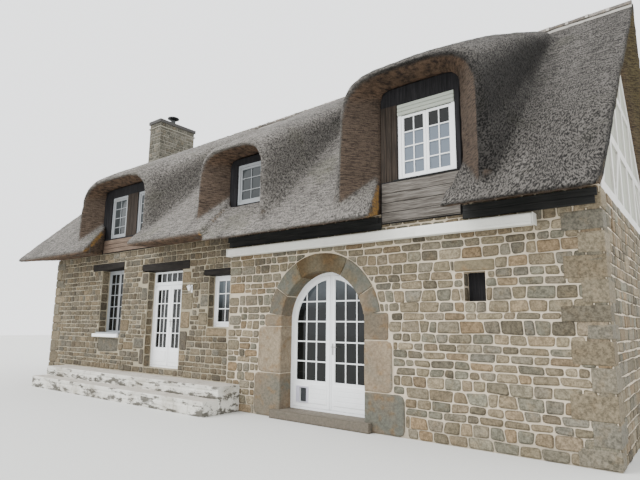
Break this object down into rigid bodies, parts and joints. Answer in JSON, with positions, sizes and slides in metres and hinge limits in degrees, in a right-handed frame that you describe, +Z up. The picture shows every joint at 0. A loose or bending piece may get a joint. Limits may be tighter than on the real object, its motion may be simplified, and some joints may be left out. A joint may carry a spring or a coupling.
{
  "type": "thatched cottage",
  "caption": "Long low stone cottage under a thatched roof with three hooded dormers, an arched glazed door, a glazed entrance door and an end chimney.",
  "frame": {"origin": "middle of the house between its outer wall faces, on the lowest ground level", "axes": "+X along the front to the right as seen from the garden, +Y into the house from its front, +Z up"},
  "size_m": [15.69, 8.3, 9.1603],
  "materials": {
    "rubble": "rough",
    "granite": "rough",
    "thatch": "matte",
    "ridge": "matte",
    "lintel": "rough",
    "white_frame": "satin",
    "glass": "clear",
    "dark_boards": "matte",
    "white_timber": "matte",
    "infill": "matte",
    "awning": "satin",
    "terrace": "weathered",
    "chimney": "rough",
    "slab": "rough",
    "steel": "brushed",
    "floor": "matte",
    "flap": "satin"
  },
  "bodies": {
    "house": {"arch_door_sill": "granite", "arch_frame": "white_frame", "arch_stones": "granite", "awning": "awning", "back_window_1": "white_frame", "back_window_2": "white_frame", "chimney_cap": "slab", "chimney_cowl": "steel", "chimney_stack": "chimney", "dormer_left_frame": "white_frame", "dormer_left_front": "dark_boards", "dormer_left_glass": "glass", "dormer_middle_frame": "white_frame", "dormer_middle_front": "dark_boards", "dormer_middle_glass": "glass", "dormer_right_frame": "white_frame", "dormer_right_front": "dark_boards", "dormer_right_glass": "glass", "eaves_beam": "dark_boards", "entrance_frame": "white_frame", "entrance_transom_glass": "glass", "gable_infill": "infill", "gable_left": "rubble", "gable_right": "rubble", "gable_timbers": "white_timber", "ground_floor": "floor", "left_window_frame": "white_frame", "left_window_glass": "glass", "lintel_entrance": "lintel", "lintel_left_window": "lintel", "lintel_small_window": "lintel", "ridge_cap": "ridge", "ridge_cap_left": "ridge", "small_window_frame": "white_frame", "small_window_glass": "glass", "terrace": "terrace", "thatch_back": "thatch", "thatch_front_left": "thatch", "thatch_front_middle": "thatch", "thatch_front_right": "thatch", "upper_floor": "floor", "wall_back": "rubble", "wall_front_left": "rubble", "wall_front_middle": "rubble", "wall_front_right": "rubble", "wall_over_arch": "rubble", "wall_over_entrance": "rubble"},
    "arch_leaf_left_body": {"arch_leaf_left": "white_frame", "arch_glass_left": "glass"},
    "arch_leaf_right_body": {"arch_leaf_right": "white_frame", "arch_glass_right": "glass"},
    "entrance_leaf_left_body": {"entrance_leaf_left": "white_frame", "entrance_glass_left": "glass"},
    "entrance_leaf_right_body": {"entrance_leaf_right": "white_frame", "entrance_glass_right": "glass"},
    "cat_flap_body": {"cat_flap": "flap"}
  },
  "joints": [
    {"name": "arch_left_hinge", "type": "hinge", "parent": "house", "child": "arch_leaf_left_body", "pos_m": [1.898, -2.934, 1.2], "axis": [0, 0, 1], "range_deg": [0, 90]},
    {"name": "arch_right_hinge", "type": "hinge", "parent": "house", "child": "arch_leaf_right_body", "pos_m": [3.623, -2.934, 1.2], "axis": [0, 0, -1], "range_deg": [0, 90]},
    {"name": "entrance_left_hinge", "type": "hinge", "parent": "house", "child": "entrance_leaf_left_body", "pos_m": [-2.459, -3.034, 1.6], "axis": [0, 0, 1], "range_deg": [0, 90]},
    {"name": "entrance_right_hinge", "type": "hinge", "parent": "house", "child": "entrance_leaf_right_body", "pos_m": [-1.256, -3.034, 1.6], "axis": [0, 0, -1], "range_deg": [0, 90]},
    {"name": "cat_flap_hinge", "type": "hinge", "parent": "arch_leaf_left_body", "child": "cat_flap_body", "pos_m": [2.15, -2.978, 0.518], "axis": [1, 0, 0], "range_deg": [-60, 60]}
  ]
}
